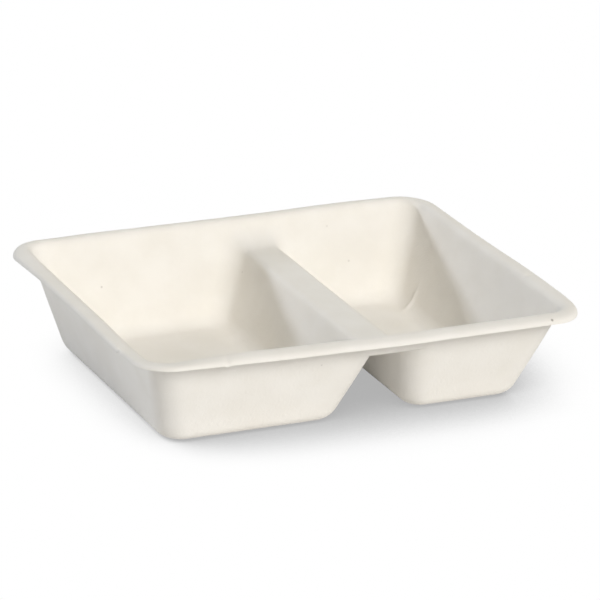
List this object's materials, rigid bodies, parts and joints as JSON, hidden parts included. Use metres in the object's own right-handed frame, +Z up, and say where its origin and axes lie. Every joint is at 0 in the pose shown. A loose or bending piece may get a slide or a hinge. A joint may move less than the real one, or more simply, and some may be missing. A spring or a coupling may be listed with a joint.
{
  "type": "bagasse takeaway tray",
  "caption": "Shallow rectangular takeaway tray of moulded sugar-cane pulp, with a flat rim and a hollow divider between a large and a small well.",
  "frame": {"origin": "on the table, under the middle of the rim", "axes": "+X along the tray, from the large well to the small well; +Y across it; +Z up, out of the wells"},
  "size_m": [0.23, 0.165, 0.048],
  "materials": {
    "pulp": "matte pressed fibre"
  },
  "bodies": {
    "root": {"tray": "pulp"}
  },
  "joints": []
}
